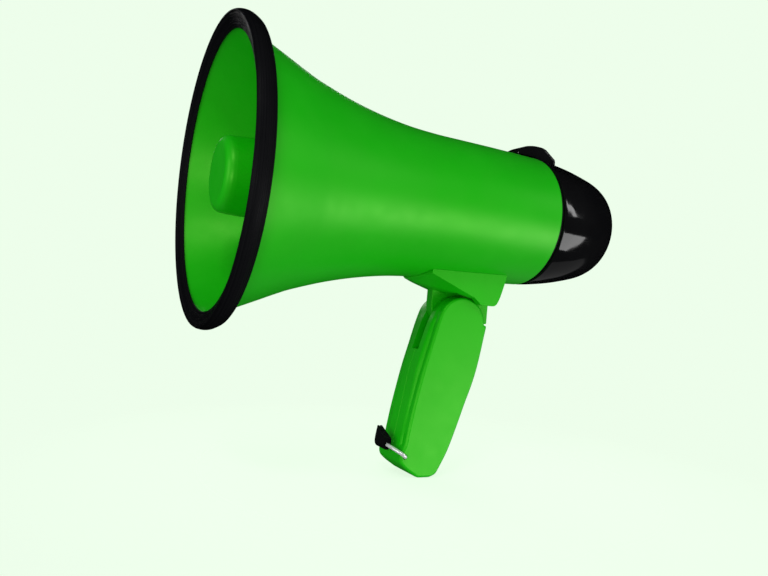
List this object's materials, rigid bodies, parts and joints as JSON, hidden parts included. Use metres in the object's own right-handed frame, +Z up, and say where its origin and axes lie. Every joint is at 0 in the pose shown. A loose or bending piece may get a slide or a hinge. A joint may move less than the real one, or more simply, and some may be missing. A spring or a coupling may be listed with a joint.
{
  "type": "handheld megaphone",
  "caption": "Handheld megaphone with a flared bell, reflector cup, domed rear unit and a pistol handle that folds forward under the bell.",
  "frame": {"origin": "centre of the footprint of the whole object, at the level of the handle's flat foot", "axes": "+X along the horn axis from the mouth towards the rear cap, so the mouth faces -X, +Z up with the handle hanging down, +Y to the side of the volume wheel"},
  "size_m": [0.26, 0.16, 0.2378],
  "materials": {
    "green_plastic": "satin bright green moulding",
    "gloss_black_plastic": "polished black moulding",
    "black_plastic": "plain black moulding",
    "black_rubber": "black rubber with fine turned grooves",
    "bright_wire": "bright plated wire",
    "plated_steel": "zinc plated",
    "ferrite": "dark sintered ferrite",
    "brass": "bright brass",
    "diaphragm_film": "amber film",
    "cell_wrap": "printed film over a metal can, plain, with no mark",
    "capacitor_sleeve": "shrink sleeve over a metal can",
    "circuit_board": "green solder mask",
    "heat_sink_aluminium": "extruded aluminium",
    "black_webbing": "woven black webbing"
  },
  "bodies": {
    "megaphone_body": {"horn_bell": "green_plastic", "horn_barrel": "green_plastic", "rim_bumper": "black_rubber", "reflector_cup": "green_plastic", "throat_plate": "green_plastic", "top_plate": "plated_steel", "magnet_ring": "ferrite", "pole_yoke": "plated_steel", "driver_screw_1": "plated_steel", "driver_screw_2": "plated_steel", "driver_screw_3": "plated_steel", "battery_holder": "black_plastic", "battery_cell_1": "cell_wrap", "battery_cell_2": "cell_wrap", "battery_cell_3": "cell_wrap", "battery_cell_4": "cell_wrap", "cell_spring_1": "plated_steel", "cell_spring_2": "plated_steel", "cell_spring_3": "plated_steel", "cell_spring_4": "plated_steel", "contact_strip_1": "brass", "contact_strip_2": "brass", "contact_strip_3": "brass", "terminal_plate_1": "brass", "terminal_plate_2": "brass", "handle_bracket": "green_plastic", "bracket_screw_1": "plated_steel", "bracket_screw_2": "plated_steel"},
    "diaphragm_assembly": {"diaphragm": "diaphragm_film", "voice_coil": "brass"},
    "rear_unit": {"rear_cap": "gloss_black_plastic", "cap_seal": "black_rubber", "mic_grille": "gloss_black_plastic", "mic_boot": "black_rubber", "mic_capsule": "plated_steel", "amplifier_board": "circuit_board", "board_screw_1": "plated_steel", "board_screw_2": "plated_steel", "amplifier_chip": "black_plastic", "heat_sink": "heat_sink_aluminium", "filter_capacitor_1": "capacitor_sleeve", "filter_capacitor_2": "capacitor_sleeve", "contact_pin_1": "brass", "contact_pin_2": "brass", "volume_pot": "black_plastic", "mode_switch_body": "plated_steel"},
    "volume_wheel": {"volume_wheel": "black_plastic"},
    "mode_slider": {"mode_slider": "gloss_black_plastic"},
    "handle": {"handle_shell_left": "green_plastic", "handle_shell_right": "green_plastic", "pivot_pin": "plated_steel", "pivot_washer_left": "plated_steel", "pivot_washer_right": "plated_steel", "handle_screw_1": "plated_steel", "handle_screw_2": "plated_steel", "handle_screw_3": "plated_steel"},
    "strap_bail": {"strap_bail": "bright_wire"},
    "strap_tab": {"strap_tab": "black_webbing"}
  },
  "joints": [
    {"name": "handle_fold", "type": "hinge", "parent": "megaphone_body", "child": "handle", "pos_m": [0.024, 0, 0.0918], "axis": [0, 1, 0], "range_deg": [0, 64]},
    {"name": "bail_swing", "type": "hinge", "parent": "handle", "child": "strap_bail", "pos_m": [-0.0073, 0, 0.0124], "axis": [0, 1, 0], "range_deg": [0, 12]},
    {"name": "tab_swing", "type": "hinge", "parent": "strap_bail", "child": "strap_tab", "pos_m": [-0.015, 0, 0.0176], "axis": [0, 1, 0], "range_deg": [-15, 15]},
    {"name": "rear_cap_pull", "type": "slide", "parent": "megaphone_body", "child": "rear_unit", "axis": [1, 0, 0], "range_m": [0, 0.05]},
    {"name": "volume_turn", "type": "hinge", "parent": "rear_unit", "child": "volume_wheel", "pos_m": [0.095, 0.0299, 0.1578], "axis": [0, 0, 1], "range_deg": [0, 270]},
    {"name": "mode_slide", "type": "slide", "parent": "rear_unit", "child": "mode_slider", "axis": [0, 1, 0], "range_m": [-0.0025, 0.0025]},
    {"name": "diaphragm_travel", "type": "slide", "parent": "megaphone_body", "child": "diaphragm_assembly", "axis": [1, 0, 0], "range_m": [-0.0002, 0.0002], "stiffness_N_per_m": 1000}
  ]
}
